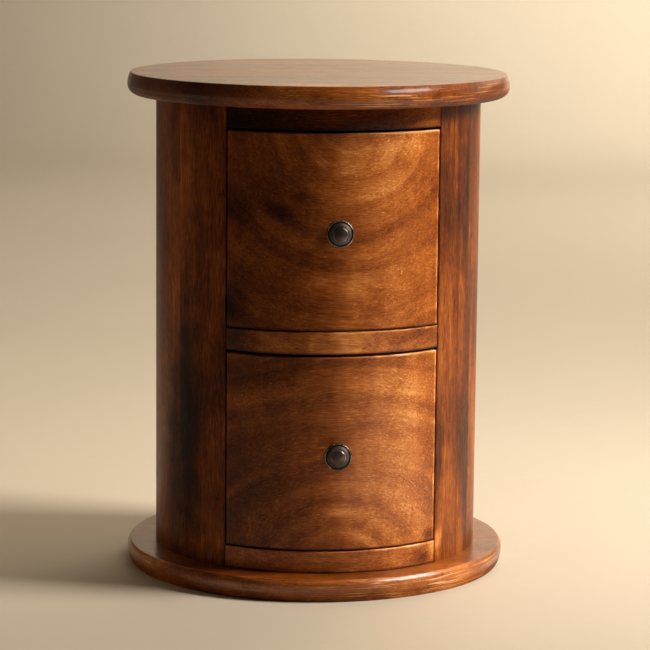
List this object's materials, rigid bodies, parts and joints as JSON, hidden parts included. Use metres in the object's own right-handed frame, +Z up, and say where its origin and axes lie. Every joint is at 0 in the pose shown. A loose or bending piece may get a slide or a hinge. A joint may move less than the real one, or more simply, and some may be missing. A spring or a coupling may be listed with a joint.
{
  "type": "drum chest",
  "caption": "Round wooden drum chest with stacked bow-front drawers, turned metal knobs and an overhanging round top and base.",
  "frame": {"origin": "centre of the base's underside, on the axis of the round body, on the floor", "axes": "+Z up, -Y towards the drawer fronts and the way the drawers open, +X to the right seen from the front"},
  "size_m": [0.3849, 0.385, 0.5],
  "materials": {
    "carcass_wood": "chestnut stain under satin lacquer",
    "drawer_front_wood": "chestnut stain under satin lacquer",
    "drawer_box_wood": "planed, unstained",
    "frame_wood": "sawn, unstained",
    "plywood": "sanded, unstained",
    "knob_metal": "antiqued and polished",
    "steel": "plated"
  },
  "bodies": {
    "carcass": {"round_top": "carcass_wood", "round_base": "carcass_wood", "front_stile_left": "carcass_wood", "front_stile_right": "carcass_wood", "stave_01": "carcass_wood", "stave_02": "carcass_wood", "stave_03": "carcass_wood", "stave_04": "carcass_wood", "stave_05": "carcass_wood", "stave_06": "carcass_wood", "stave_07": "carcass_wood", "stave_08": "carcass_wood", "stave_09": "carcass_wood", "stave_10": "carcass_wood", "top_front_rail": "carcass_wood", "middle_front_rail": "carcass_wood", "bottom_front_rail": "carcass_wood", "bottom_back_rail": "frame_wood", "bottom_runner_left": "frame_wood", "bottom_runner_right": "frame_wood", "middle_back_rail": "frame_wood", "middle_runner_left": "frame_wood", "middle_runner_right": "frame_wood", "top_back_rail": "frame_wood", "top_kicker_left": "frame_wood", "top_kicker_right": "frame_wood", "lower_guide_left": "frame_wood", "lower_guide_right": "frame_wood", "lower_drawer_stops": "frame_wood", "upper_guide_left": "frame_wood", "upper_guide_right": "frame_wood", "upper_drawer_stops": "frame_wood", "rail_dowels": "frame_wood", "top_screws": "steel", "base_screws": "steel"},
    "upper_drawer": {"upper_drawer_front": "drawer_front_wood", "upper_drawer_side_left": "drawer_box_wood", "upper_drawer_side_right": "drawer_box_wood", "upper_drawer_back": "drawer_box_wood", "upper_drawer_bottom": "plywood", "upper_drawer_bottom_pins": "steel", "upper_knob": "knob_metal", "upper_knob_washer": "steel", "upper_knob_screw": "steel"},
    "lower_drawer": {"lower_drawer_front": "drawer_front_wood", "lower_drawer_side_left": "drawer_box_wood", "lower_drawer_side_right": "drawer_box_wood", "lower_drawer_back": "drawer_box_wood", "lower_drawer_bottom": "plywood", "lower_drawer_bottom_pins": "steel", "lower_knob": "knob_metal", "lower_knob_washer": "steel", "lower_knob_screw": "steel"}
  },
  "joints": [
    {"name": "upper_drawer_slide", "type": "slide", "parent": "carcass", "child": "upper_drawer", "axis": [0, -1, 0], "range_m": [0, 0.15]},
    {"name": "lower_drawer_slide", "type": "slide", "parent": "carcass", "child": "lower_drawer", "axis": [0, -1, 0], "range_m": [0, 0.15]}
  ]
}
